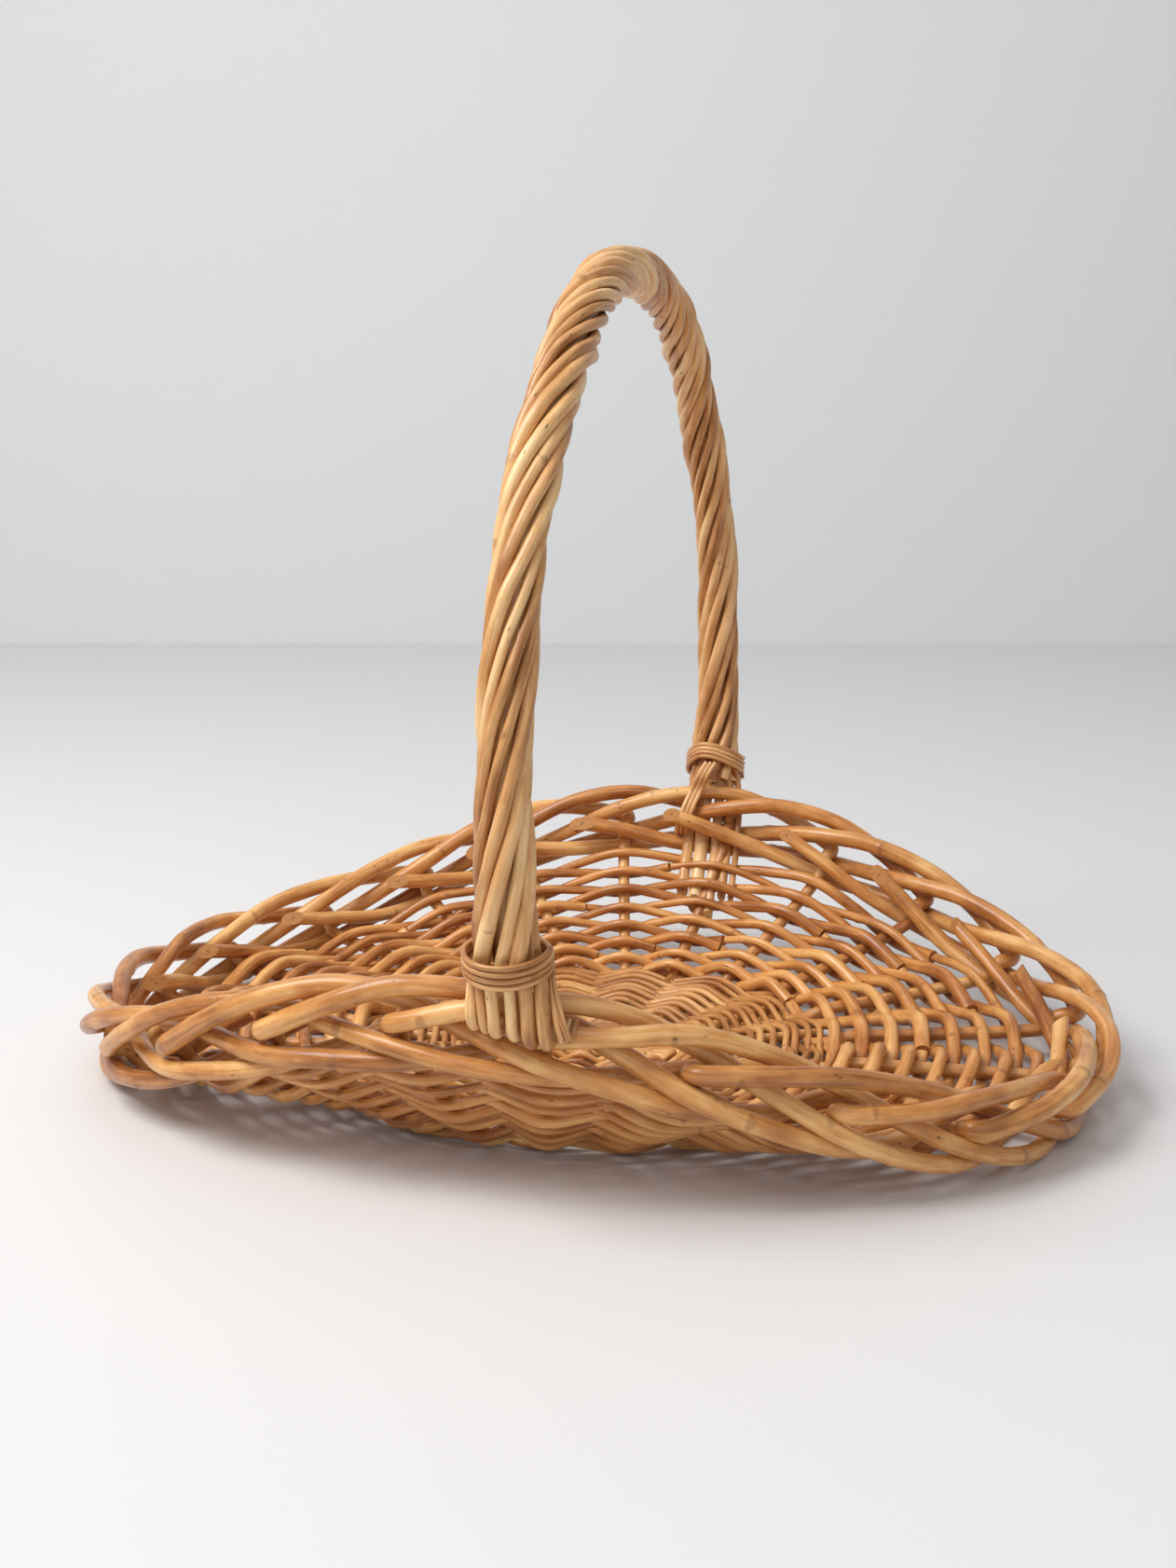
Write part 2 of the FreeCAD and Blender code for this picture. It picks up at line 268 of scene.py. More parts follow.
# The willow's markings: their repeats per metre, stretch, weight, shade and depth.
STREAKS = 520
STREAK_WEIGHT = 1.0
STREAK_STRETCH = (1, 1, 0.05)
PATCHES = 38
PATCH_WEIGHT = 1.7
PATCH_STRETCH = (1.5, 1.5, 0.7)
BLOTCHES = 170
BLOTCH_STRETCH = (1, 1, 0.4)
ROD_SHADE_WEIGHT = 0.45
RED_ROD = (1.0, 0.84, 0.68, 1)
RED_ROD_WEIGHT = 0.34
PITS = 210.0
PIT_STRETCH = (1, 1, 0.55)
PIT_GROUPS = 80
WOOD_FIBRES = 900
BROWN_SHADE = 0.52
DARK_SHADE = 0.26
CUT_SHADE = 0.80
PITH_RADIUS = 0.6 * MM
PITH_EDGE = 1.3 * MM
BARK_RELIEF = 0.4 * MM


def willow(name, deep, middle, light, roughness, coat):
    """Peeled and varnished willow: honey-coloured, streaked along the rod, with specks and bud scars."""
    material = bpy.data.materials.new(name)
    material.use_nodes = True
    tree = material.node_tree
    shader = tree.nodes["Principled BSDF"]
    start = Signal(tree)

    def stored(attribute, output):
        return start.make("ShaderNodeAttribute", {"attribute_name": attribute}, None, output)

    grain = stored("grain", "Vector")
    tone = stored("tone", "Fac")
    own_place = grain.vector("ADD", start.make("ShaderNodeCombineXYZ", None, {0: tone * 5.3, 1: tone * 3.1}))

    def noise(scale, detail, stretch=(1, 1, 1)):
        place = own_place.vector("MULTIPLY", stretch)
        return start.make("ShaderNodeTexNoise", {"noise_dimensions": "3D"},
                          {"Vector": place, "Scale": scale, "Detail": detail, "Roughness": 0.6})

    streaks = noise(STREAKS, 4, STREAK_STRETCH)
    patches = noise(PATCHES, 3, PATCH_STRETCH)
    blotches = noise(BLOTCHES, 5, BLOTCH_STRETCH)
    rod_shade = tone.scattered(7.13)
    blend = (streaks - 0.5) * STREAK_WEIGHT + (patches - 0.5) * PATCH_WEIGHT
    blend = blend + (rod_shade - 0.5) * ROD_SHADE_WEIGHT + 0.5
    colour = start.make("ShaderNodeValToRGB", {"stops": [(0.08, deep), (0.5, middle), (0.92, light)]},
                        {0: blend.clamped()})
    # Some rods are redder than the rest, as the bark left them.
    redder = tone.scattered(3.71).between(0.45, 1.0)
    colour = colour.mixed(RED_ROD, redder * RED_ROD_WEIGHT, "MULTIPLY")

    # Fine pits, brown stains, and a ringed oval scar on one side of the rod at each bud.
    pit_place = own_place.vector("MULTIPLY", PIT_STRETCH)
    pit_cells = start.make("ShaderNodeTexVoronoi", {"feature": "F1"},
                           {"Vector": pit_place, "Scale": PITS, "Randomness": 1.0}, "Distance")
    pits = (1 - pit_cells.between(0.05, 0.2)) * noise(PIT_GROUPS, 1).between(0.52, 0.62)
    stains = blotches.between(0.58, 0.76)
    bud = stored("bud", "Fac")
    bud_side = stored("bud_side", "Fac")
    bud_way = start.make("ShaderNodeCombineXYZ", None, {0: bud_side.math("COSINE"), 1: bud_side.math("SINE")})
    facing_bud = stored("round", "Vector").vector("DOT_PRODUCT", bud_way, "Value")
    spot = (bud * 0.62 + facing_bud * 0.62 + (blotches - 0.5) * 0.35).clamped()
    scar = spot.between(0.96, 1.14)
    halo = spot.between(0.80, 1.04)
    brown = (*(part * BROWN_SHADE for part in deep), 1)
    dark = (*(part * DARK_SHADE for part in deep), 1)
    colour = colour.mixed(brown, stains * 0.30)
    colour = colour.mixed(brown, halo * 0.32 + bud.between(0.6, 1.0) * 0.06)
    colour = colour.mixed(dark, (scar * 0.45 + pits * 0.75).clamped())

    # The cut ends are dry and tan, flecked with brown, with the darker pith in the middle.
    cut = stored("cut_face", "Fac").math("GREATER_THAN", 0.5)
    here = start.make("ShaderNodeTexCoord", output="Object")
    off_axis = here.vector("SUBTRACT", stored("axis", "Vector")).vector("LENGTH", (0, 0, 0), "Value")
    pith = 1 - off_axis.between(PITH_RADIUS, PITH_EDGE)
    wood = noise(WOOD_FIBRES, 3)
    cut_colour = start.make("ShaderNodeRGB")
    cut_colour.owner.outputs[0].default_value = (*(part * CUT_SHADE for part in middle), 1)
    cut_colour = cut_colour.mixed(brown, wood.between(0.35, 0.8) * 0.55)
    cut_colour = cut_colour.mixed(dark, pith * 0.45)
    colour = colour.mixed(cut_colour, cut)
    tree.links.new(colour.socket, shader.inputs["Base Color"])

    rough = roughness + (patches - 0.5) * 0.22 + stains * 0.12 + cut * 0.3
    tree.links.new(rough.socket, shader.inputs["Roughness"])
    coating = coat * (1 - cut)
    tree.links.new(coating.socket, shader.inputs["Coat Weight"])
    shader.inputs["Coat Roughness"].default_value = 0.24
    shader.inputs["IOR"].default_value = 1.45

    height = (streaks - 0.5) * 0.5 - scar * 1.0 - pits * 0.9 + (blotches - 0.5) * 0.7 + halo * 0.35
    bump = start.make("ShaderNodeBump", None,
                      {"Strength": 0.6, "Distance": BARK_RELIEF, "Height": height}, "Normal")
    tree.links.new(bump.socket, shader.inputs["Normal"])
    return material


chance = random.Random(811)
FLOOR_GAP = 0.6 * MM


def rod_of(points, girths, cut_side=(0, 0, 1), cut_slant=0.0):
    """One rod: its route, its radius at each point, and how its tip is cut."""
    if not isinstance(girths, (list, tuple)):
        girths = [girths] * len(points)
    # Routes are kept up off the ground that the basket stands on.
    points = [Vector((p[0], p[1], max(p[2], girth + FLOOR_GAP))) for p, girth in zip(points, girths)]
    return {"points": points, "girths": girths, "tone": chance.random(),
            "cut_side": Vector(cut_side).normalized(), "cut_slant": cut_slant}


def lay_rods(name, rods, finish, sides=10, spacing=2.5 * MM, crook=0.0, swelling=0.06, bud_gap=0.07):
    """Makes one piece from its rods with the rod tree and keeps it as a plain mesh."""
    vertices = []
    edges = []
    for one in rods:
        first = len(vertices)
        vertices += one["points"]
        edges += [(i, i + 1) for i in range(first, len(vertices) - 1)]
    routes = bpy.data.meshes.new(name + " routes")
    routes.from_pydata(vertices, edges, [])

    def store(attribute, kind, field, values):
        routes.attributes.new(attribute, kind, "POINT").data.foreach_set(field, values)

    store("girth", "FLOAT", "value", [g for one in rods for g in one["girths"]])
    store("tone", "FLOAT", "value", [one["tone"] for one in rods for _ in one["points"]])
    store("cut_slant", "FLOAT", "value", [one["cut_slant"] for one in rods for _ in one["points"]])
    sides_of_cut = [part for one in rods for _ in one["points"] for part in one["cut_side"]]
    store("cut_side", "FLOAT_VECTOR", "vector", sides_of_cut)

    draft = bpy.data.objects.new(name + " draft", routes)
    bpy.context.collection.objects.link(draft)
    modifier = draft.modifiers.new("rods", "NODES")
    modifier.node_group = ROD_TREE
    values = {"Sides": sides, "Spacing": spacing, "Crook": crook, "Swelling": swelling,
              "Bud Gap": bud_gap, "Finish": finish}
    for item in ROD_TREE.interface.items_tree:
        if item.in_out == "INPUT" and item.name in values:
            modifier[item.identifier] = values[item.name]
    shown = draft.evaluated_get(bpy.context.evaluated_depsgraph_get())
    mesh = bpy.data.meshes.new_from_object(shown)
    mesh.name = name
    piece = bpy.data.objects.new("willow_" + name, mesh)
    bpy.context.collection.objects.link(piece)
    bpy.data.objects.remove(draft)
    bpy.data.meshes.remove(routes)
    return piece


def stand_for(piece, slot, *nodes):
    """A finished piece takes the place of its CAD nodes on the one body."""
    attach(piece, "root")
    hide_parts(*nodes)


def oval(angle, half_length, half_width, roundness=2.0):
    """Point of a rounded oval in plan."""
    power = 2 / roundness
    c = math.cos(angle)
    s = math.sin(angle)
    x = half_length * math.copysign(abs(c) ** power, c)
    y = half_width * math.copysign(abs(s) ** power, s)
    return Vector((x, y, 0))


base_willow = willow("base willow", deep=(0.28, 0.092, 0.021), middle=(0.55, 0.240, 0.068),
                     light=(0.78, 0.44, 0.160), roughness=0.42, coat=0.20)
SLATH_HALF_LENGTH = CROSS_STICK_GAP * (CROSS_STICKS - 1) / 2 + 9 * MM
SLATH_HALF_WIDTH = LONG_STICK_GAP * (LONG_STICKS - 1) / 2 + 7 * MM
FAN_STEP = math.pi / (LONG_STICKS + CROSS_STICKS)
stick_halves = []


def stick_halves_of(along_x, offset, angle):
    """Both halves of a base stick, from the middle to the tips."""
    tip = oval(angle, BASE_HALF_LENGTH - STICK_SETBACK, BASE_HALF_WIDTH - STICK_SETBACK)
    if along_x:
        corner = Vector((SLATH_HALF_LENGTH, offset, 0))
        other_corner = Vector((-SLATH_HALF_LENGTH, offset, 0))
        other_tip = Vector((-tip.x, tip.y, 0))
    else:
        corner = Vector((offset, SLATH_HALF_WIDTH, 0))
        other_corner = Vector((offset, -SLATH_HALF_WIDTH, 0))
        other_tip = Vector((tip.x, -tip.y, 0))
    level = Vector((0, 0, BASE_LEVEL))
    return (corner + level, tip + level), (other_corner + level, other_tip + level)


def base_stick(name, along_x, offset, angle):
    near, far = stick_halves_of(along_x, offset, angle)
    stick_halves.extend([near, far])
    route = [near[1], near[0].lerp(near[1], 0.5), near[0], near[0].lerp(far[0], 0.5),
             far[0], far[0].lerp(far[1], 0.5), far[1]]
    piece = lay_rods(name, [rod_of(route, STICK_GIRTH)], base_willow, sides=12, swelling=0.08)
    stand_for(piece, "base_willow", name)


for index in range(LONG_STICKS):
    place = index - (LONG_STICKS - 1) / 2
    base_stick("base_long_stick_%d" % (index + 1), True, place * LONG_STICK_GAP, place * FAN_STEP)
for index in range(CROSS_STICKS):
    place = index - (CROSS_STICKS - 1) / 2
    angle = math.pi / 2 - place * FAN_STEP
    base_stick("base_cross_stick_%d" % (index + 1), False, place * CROSS_STICK_GAP, angle)

# ------------------------------------------------------------------ base weave
# Thin unsplit weavers are worked over one stick and under the next, round and round
# from the crossed sticks to the edge of the base. They ride up where they pass over.

BASE_ROUNDS = 26
BASE_WEAVER_GIRTH = 1.85 * MM
BASE_FIRST_ROUND = 0.6
BASE_LAST_ROUND = BASE_ROUNDS - 1.1
GROWTH_IN_A_ROUND = 0.9
BASE_PRESS = 0.4 * MM
BASE_SHOVE = 0.9 * MM
BASE_BULGE = 0.3 * MM


def heading_of(half):
    return math.atan2(half[1].y, half[1].x) % (2 * math.pi)


stick_halves.sort(key=heading_of)
sticks_round = len(stick_halves)


def base_crossing(stick_number, round_number):
    """Where a round of weaving crosses a stick."""
    corner, tip = stick_halves[stick_number % sticks_round]
    share = (round_number + BASE_FIRST_ROUND) / BASE_LAST_ROUND
    return corner.lerp(tip, share)


base_weavers = []
for round_number in range(BASE_ROUNDS):
    start_stick = chance.randrange(sticks_round)
    route = []
    for step in range(sticks_round + 1):
        stick = start_stick + step
        # Each full turn moves the weaver outwards by nearly one round, as a spiral does.
        grown = round_number + step / sticks_round * GROWTH_IN_A_ROUND
        here = base_crossing(stick, grown)
        after = base_crossing(stick + 1, grown)
        over = 1 if (stick + round_number) % 2 else -1
        rise = STICK_GIRTH + BASE_WEAVER_GIRTH - BASE_PRESS
        outward = Vector((here.x, here.y, 0)).normalized()
        shove = outward * over * BASE_SHOVE
        route.append(here + shove + Vector((0, 0, over * rise)))
        if step < sticks_round:
            route.append(here.lerp(after, 0.5) + outward * BASE_BULGE)
    girth = BASE_WEAVER_GIRTH * chance.uniform(0.88, 1.14)
    base_weavers.append(rod_of(route, girth, (0, 0, 1), 0.6))
base_piece = lay_rods("base_weave", base_weavers, base_willow, sides=8, spacing=2.2 * MM,
                      crook=0.6 * MM, swelling=0.10, bud_gap=0.05)
stand_for(base_piece, "base_willow", "base_weave")

# ------------------------------------------------------------------ stakes and border
# Twenty-two stakes are pushed in beside the base sticks, bent up through the side, and
# folded over at the top. Each one travels round past the next five as the border.

RIM_HALF_LENGTH = 250 * MM
RIM_HALF_WIDTH = 200 * MM
RIM_ROUNDNESS = 2.14
RIM_MEAN_HEIGHT = 64.2 * MM
RIM_SWING = 28.4 * MM
RIM_SECOND_SWING = 6 * MM
RIM_TWIST = 4 * MM
RIM_RIPPLE = 1.5 * MM
RIM_SIDE_LIFT = 5 * MM
RIM_END_LIFT = 0.5 * MM
BORDER_HEIGHT = 30.5 * MM
BORDER_INSET = 18.5 * MM
BORDER_LEAN = 32
BORDER_LEAN_SWING = 12
WALL_START_HEIGHT = 9 * MM
WALL_CURVE = 1.15
STAKES = 22
STAKE_PHASE = -0.13
STAKE_GIRTH = 3.3 * MM
BORDER_GIRTH = 4.5 * MM


def rim_height(angle):
    """Top of the border: high at the handle, low at the two ends, and a little uneven."""
    even = RIM_SECOND_SWING * math.cos(4 * angle) - RIM_SWING * math.cos(2 * angle)
    twisted = RIM_TWIST * math.sin(2 * angle) - RIM_RIPPLE * math.sin(4 * angle)
    tilted = RIM_SIDE_LIFT * math.sin(angle) + RIM_END_LIFT * math.cos(angle)
    return RIM_MEAN_HEIGHT + even + twisted + tilted


def rim_line(angle):
    """Where the stakes enter the border."""
    point = oval(angle, RIM_HALF_LENGTH - BORDER_INSET, RIM_HALF_WIDTH - BORDER_INSET, RIM_ROUNDNESS)
    point.z = rim_height(angle) - BORDER_HEIGHT
    return point


def wall_point(angle, share):
    """Point on the middle of the wall, from the base edge (0) to the border (1)."""
    low = oval(angle, BASE_HALF_LENGTH, BASE_HALF_WIDTH)
    high = rim_line(angle)
    point = low.lerp(high, share)
    point.z = WALL_START_HEIGHT + (high.z - WALL_START_HEIGHT) * max(share, 0.0) ** WALL_CURVE
    return point


def wall_normal(angle, share):
    """Unit vector out of the wall, away from the bowl."""
    step = 0.01
    around = wall_point(angle + step, share) - wall_point(angle - step, share)
    up = wall_point(angle, share + step) - wall_point(angle, share - step)
    return around.cross(up).normalized()


def rim_outward(angle):
    """Level unit vector square to the rim in plan."""
    along = rim_line(angle + 0.01) - rim_line(angle - 0.01)
    return Vector((along.y, -along.x, 0)).normalized()


RIM_STEPS = 1440
rim_angles = [2 * math.pi * i / RIM_STEPS for i in range(RIM_STEPS + 1)]
rim_lengths = [0.0]
for a, b in zip(rim_angles, rim_angles[1:]):
    rim_lengths.append(rim_lengths[-1] + (rim_line(b) - rim_line(a)).length)


def stake_angle(place):
    """The angle of a place on the rim, counted in stakes."""
    turns, part = divmod((place + STAKE_PHASE) / STAKES, 1.0)
    target = part * rim_lengths[-1]
    low, high = 0, RIM_STEPS
    while high - low > 1:
        middle = (low + high) // 2
        if rim_lengths[middle] <= target:
            low = middle
        else:
            high = middle
    rest = (target - rim_lengths[low]) / (rim_lengths[high] - rim_lengths[low])
    return (low + rest) * 2 * math.pi / RIM_STEPS + turns * 2 * math.pi


STAKE_STOPS = (0.12, 0.3, 0.5, 0.7, 0.87)
# A stop on a rod's way through the border: stakes passed, height and distance out in mm,
# measured before the border leans outwards.
BORDER_ROUTE = [
    (0.0, 2, 0), (0.0, 10, 0.5), (-0.02, 16, 4.8), (0.10, 19.5, 7.4), (0.55, 27, 5.2), (1.0, 31, -0.5),
    (1.5, 28, -6.5), (2.0, 20.5, -7.5), (2.5, 13.9, 1.5), (3.0, 8.8, 10.8), (3.5, 4.3, 12.8), (4.0, 0.2, 9.2),
    (4.5, 0.5, 0.5), (5.0, 6.5, -9.5), (5.45, 13.5, -14.0),
]
STEADY_STOPS = 4
STOP_WOBBLE = 0.7
TIP_STARTS = 4.4
BORDER_TAPER = 0.10
stake_willow = willow("stake willow", deep=(0.31, 0.100, 0.021), middle=(0.61, 0.268, 0.073),
                      light=(0.84, 0.49, 0.185), roughness=0.34, coat=0.27)


def border_point(place, height, outset):
    angle = stake_angle(place)
    lean = math.radians(BORDER_LEAN + BORDER_LEAN_SWING * math.cos(2 * angle))
    point = rim_line(angle) + rim_outward(angle) * (outset * math.cos(lean) + height * math.sin(lean))
    point.z += height * math.cos(lean) - outset * math.sin(lean)
    return point


for index in range(STAKES):
    name = "stake_%02d" % (index + 1)
    angle = stake_angle(index)
    edge = oval(angle, BASE_HALF_LENGTH, BASE_HALF_WIDTH)
    inner = edge * 0.9
    edge.z = BASE_LEVEL
    inner.z = BASE_LEVEL
    route = [inner, edge]
    route += [wall_point(angle, share) for share in STAKE_STOPS]
    girths = [STAKE_GIRTH * 0.95] * 2 + [STAKE_GIRTH] * len(STAKE_STOPS)
    size = chance.uniform(0.90, 1.10)
    reach = chance.uniform(-0.12, 0.12)
    for step, (passed, height, outset) in enumerate(BORDER_ROUTE):
        wobble = 0 if step < STEADY_STOPS else STOP_WOBBLE
        height += chance.uniform(-wobble, wobble)
        outset += chance.uniform(-wobble, wobble)
        passed += reach * max(0, passed - TIP_STARTS)
        route.append(border_point(index + passed, height * MM, outset * MM))
        thick = min(1.0, 0.2 + step * 0.28)
        taper = 1 - BORDER_TAPER * passed / BORDER_ROUTE[-1][0]
        girths.append(STAKE_GIRTH + (BORDER_GIRTH * size * taper - STAKE_GIRTH) * thick)
    inward = Vector((-route[-1].x, -route[-1].y, 0)).normalized() + Vector((0, 0, 0.6))
    stake = rod_of(route, girths, inward, chance.uniform(1.0, 2.0))
    piece = lay_rods(name, [stake], stake_willow, sides=16, spacing=2.2 * MM, crook=0.7 * MM,
                     swelling=0.05, bud_gap=0.085)
    stand_for(piece, "stake_willow", name)

# ------------------------------------------------------------------ side weave
# Thirteen rows of randing, one rod before and behind each stake in turn. Each row is
# three tapered weavers laid end to end, a thin tip against the thick butt of the next.

ROWS = 13
FIRST_ROW = 0.07
ROW_STEP = 0.068
WEAVER_GIRTH = 2.42 * MM
END_SWELL = 0.48
FAR_SWELL = 0.12
FLOAT_SHIFT = 0.017
LOWEST_SHARE = 0.012
ROW_WANDER = 0.0015
WEAVERS_IN_ROW = 3
BUTT_SIZE = 1.10
WEAVER_TAPER = 0.30
weave_willow = willow("weave willow", deep=(0.31, 0.096, 0.020), middle=(0.62, 0.266, 0.071),
                      light=(0.86, 0.49, 0.178), roughness=0.33, coat=0.30)


def weaver_route(row, first, last, butt):
    """From beside one stake to beside another, in and out on the way."""
    points = []
    girths = []
    place = first
    while place <= last + 0.01:
        share = max(LOWEST_SHARE, FIRST_ROW + row * ROW_STEP)
        stake = round(place)
        on_stake = abs(place - stake) < 0.2
        side = 0
        if on_stake:
            side = 1 if (stake + row) % 2 else -1
        travelled = (place - first) / (last - first)
        angle = stake_angle(place)
        swell = END_SWELL * math.cos(angle) ** 2 + FAR_SWELL * max(0.0, math.sin(angle))
        girth = butt * (BUTT_SIZE - WEAVER_TAPER * travelled) * (1 + swell)
        share += chance.uniform(-ROW_WANDER, ROW_WANDER) - side * FLOAT_SHIFT
        reach = STAKE_GIRTH + girth + 0.1 * MM
        points.append(wall_point(angle, share) + wall_normal(angle, share) * side * reach)
        girths.append(girth)
        place += 0.5
    return points, girths


def weavers_of(row):
    """The weavers of one row, laid end to end."""
    start = chance.randrange(STAKES)
    cuts = [start + round(STAKES * part / WEAVERS_IN_ROW) for part in range(WEAVERS_IN_ROW + 1)]
    weavers = []
    for first, last in zip(cuts, cuts[1:]):
        butt = WEAVER_GIRTH * chance.uniform(0.92, 1.08)
        points, girths = weaver_route(row, first - 0.5, last - 0.5, butt)
        weavers.append(rod_of(points, girths, wall_normal(stake_angle(last), 0.5) * -1, 0.8))
    return weavers


for row in range(ROWS):
    name = "side_weave_row_%02d" % (row + 1)
    weavers = weavers_of(row)
    # One more round at the very bottom closes the side against the base.
    if row == 0:
        weavers += weavers_of(-1)
    piece = lay_rods(name, weavers, weave_willow, sides=12, spacing=2.4 * MM,
                     crook=1.0 * MM, swelling=0.07, bud_gap=0.06)
    stand_for(piece, "weave_willow", name)

# ------------------------------------------------------------------ handle
# A thick willow bow, roped from foot to foot with nine rods laid round it as a
# right-hand screw. They run straighter at the feet and wind closer over the crown.

HANDLE_SHIFT = 21 * MM
HANDLE_SKEW = 9 * MM
HANDLE_HALF_WIDTH = 207 * MM
FOOT_HALF_WIDTH = 197 * MM
SPRING_HEIGHT = 159 * MM
FOOT_RISE = 3 * MM
BOW_GIRTH = 6.1 * MM
STRAND_GIRTH = 2.65 * MM
STRANDS = 9
STRAND_PITCH = 158 * MM
ROPED_RADIUS = BOW_GIRTH + 2 * STRAND_GIRTH
CROWN_HEIGHT = cad_high[2] - ROPED_RADIUS
HALF_ARCH = math.pi / 2 * (HANDLE_HALF_WIDTH + CROWN_HEIGHT - SPRING_HEIGHT) / 2
STRAND_START = 0.011
STRAND_SPAN = 0.988
STRAND_EASE = 0.3
STRAND_SLIDE = 0.09
STRAND_LUMPS = 0.12
FLARE_LENGTH = 85 * MM
FLARE = 2.8 * MM
FLARE_SWELL = 0.15


def foot_height(side):
    return rim_height(side * math.pi / 2) + FOOT_RISE


def bow_point(share):
    """Middle of the handle, from the near foot (0) over the crown to the far foot (1)."""
    side = math.copysign(1, share - 0.5)
    leg = SPRING_HEIGHT - foot_height(side)
    travel = abs(share - 0.5) * 2 * (HALF_ARCH + leg)
    if travel <= HALF_ARCH:
        turn = travel / HALF_ARCH * math.pi / 2
        y = HANDLE_HALF_WIDTH * math.sin(turn)
        z = SPRING_HEIGHT + (CROWN_HEIGHT - SPRING_HEIGHT) * math.cos(turn)
    else:
        down = (travel - HALF_ARCH) / leg
        y = HANDLE_HALF_WIDTH - (HANDLE_HALF_WIDTH - FOOT_HALF_WIDTH) * down ** 2
        z = SPRING_HEIGHT - leg * down
    return Vector((HANDLE_SHIFT + HANDLE_SKEW * side * y / HANDLE_HALF_WIDTH, side * y, z))


def bow_side(share, turn, radius):
    """Point beside the bow, turned about it."""
    along = (bow_point(share + 0.002) - bow_point(share - 0.002)).normalized()
    across = Vector((1, 0, 0))
    out = along.cross(across)
    return bow_point(share) + across * math.cos(turn) * radius + out * math.sin(turn) * radius


handle_willow = willow("handle willow", deep=(0.36, 0.138, 0.038), middle=(0.67, 0.350, 0.130),
                       light=(0.87, 0.58, 0.28), roughness=0.35, coat=0.26)
bow_route = [bow_point(i / 60) for i in range(61)]
bow = lay_rods("handle_bow", [rod_of(bow_route, BOW_GIRTH)], handle_willow, sides=14, swelling=0.04)
stand_for(bow, "handle_willow", "handle_bow")

BOW_LENGTH = 2 * HALF_ARCH + 2 * SPRING_HEIGHT - foot_height(-1) - foot_height(1)
strand_turns = BOW_LENGTH / STRAND_PITCH
for index in range(STRANDS):
    name = "handle_strand_%02d" % (index + 1)
    steps = round(strand_turns * 10)
    route = []
    girths = []
    girth = STRAND_GIRTH * chance.uniform(0.82, 1.16)
    drift = chance.uniform(0, 6)
    for step in range(steps + 1):
        share = STRAND_START + STRAND_SPAN * step / steps
        eased = share - STRAND_EASE * math.sin(2 * math.pi * share) / (2 * math.pi)
        slide = STRAND_SLIDE * math.sin(drift + share * 21) + chance.uniform(-0.03, 0.03)
        turn = 2 * math.pi * (index / STRANDS + strand_turns * eased) + slide
        lumpy = 1 + STRAND_LUMPS * math.sin(drift * 2 + share * 13)
        here = girth * lumpy * chance.uniform(0.97, 1.03)
        to_foot = min(share, 1 - share) * BOW_LENGTH
        flare = max(0.0, 1 - to_foot / FLARE_LENGTH) ** 1.5 * FLARE
        here *= 1 + flare / FLARE * FLARE_SWELL
        route.append(bow_side(share, turn, BOW_GIRTH + here + flare + chance.uniform(-0.3, 0.5) * MM))
        girths.append(here)
    piece = lay_rods(name, [rod_of(route, girths)], handle_willow, sides=14, crook=0.5 * MM,
                     swelling=0.07, bud_gap=0.09)
    stand_for(piece, "handle_willow", name)

# ------------------------------------------------------------------ handle feet
# Each foot is bound with four close turns of thin rod. On the near side the roping comes
# down over the border in a fan of loops and turns in under its top rods. On the far
# side the rods run down inside the border into the weave, held by a slanting tie.

TIE_GIRTH = 1.25 * MM
COLLAR_TURNS = 4
STEPS_IN_TURN = 16
TURN_GAP = 0.1 * MM
COLLAR_HEIGHT = 14 * MM
CORNER_TURN = 1.8
CORNER_REACH = 60 * MM
FAR_KINK = 8 * MM
NEAR_TUCK = 0.18
LOOP_GIRTH = 2.7 * MM
LOOP_CLEARANCE = 1.5 * MM
FOOT_ROD_GIRTH = 3.1 * MM
FAR_WALL_BEND = 190 * MM
collar_share = COLLAR_HEIGHT / BOW_LENGTH


def collar_rods(share_of_middle, radius, kink, tuck):
    """Close turns round a foot: drawn out to a corner by the kink, drawn in on one side by the tuck."""
    climb = (2 * TIE_GIRTH + TURN_GAP) / BOW_LENGTH
    route = []
    for step in range(COLLAR_TURNS * STEPS_IN_TURN + 1):
        travelled = step / STEPS_IN_TURN
        turn = 2 * math.pi * travelled
        past_corner = turn - CORNER_TURN
        from_corner = abs(math.atan2(math.sin(past_corner), math.cos(past_corner))) / math.pi
        slant = kink * (min(0.5, from_corner) * 2 - 0.5) / BOW_LENGTH
        share = share_of_middle + (travelled - COLLAR_TURNS / 2) * climb + slant
        corner = 1 + kink / CORNER_REACH * max(0.0, math.cos(past_corner)) ** 8
        corner -= tuck * max(0.0, math.sin(turn))
        route.append(bow_side(share, turn, radius * corner * (1 + chance.uniform(-0.008, 0.008))))
    return [rod_of(route, TIE_GIRTH)]


def near_loop(start, end, girth, depth):
    """A rod from inside the collar, out over the top of the border and in under it."""
    foot = bow_point(0)
    ring = ROPED_RADIUS + LOOP_CLEARANCE + girth
    beside = math.sqrt(max(0.0, ring ** 2 - start ** 2)) / MM
    # A stop: share of the way from start to end, then distance out and height in mm.
    stops = [
        (0.0, beside, 14), (0.1, beside, 8), (0.45, beside * 0.4 + 6.8, 0.5), (0.85, 11.4, -depth * 0.5),
        (1.0, 10.6, -depth + 3.6), (1.0, 7.4, -depth + 0.3), (1.0, 2.0, -depth + 0.4),
        (0.98, -6.0, -depth + 4.5),
    ]
    route = []
    for share, out, up in stops:
        x = foot.x + start + (end - start) * share
        route.append(Vector((x, foot.y - out * MM, foot.z + up * MM)))
    return rod_of(route, girth)


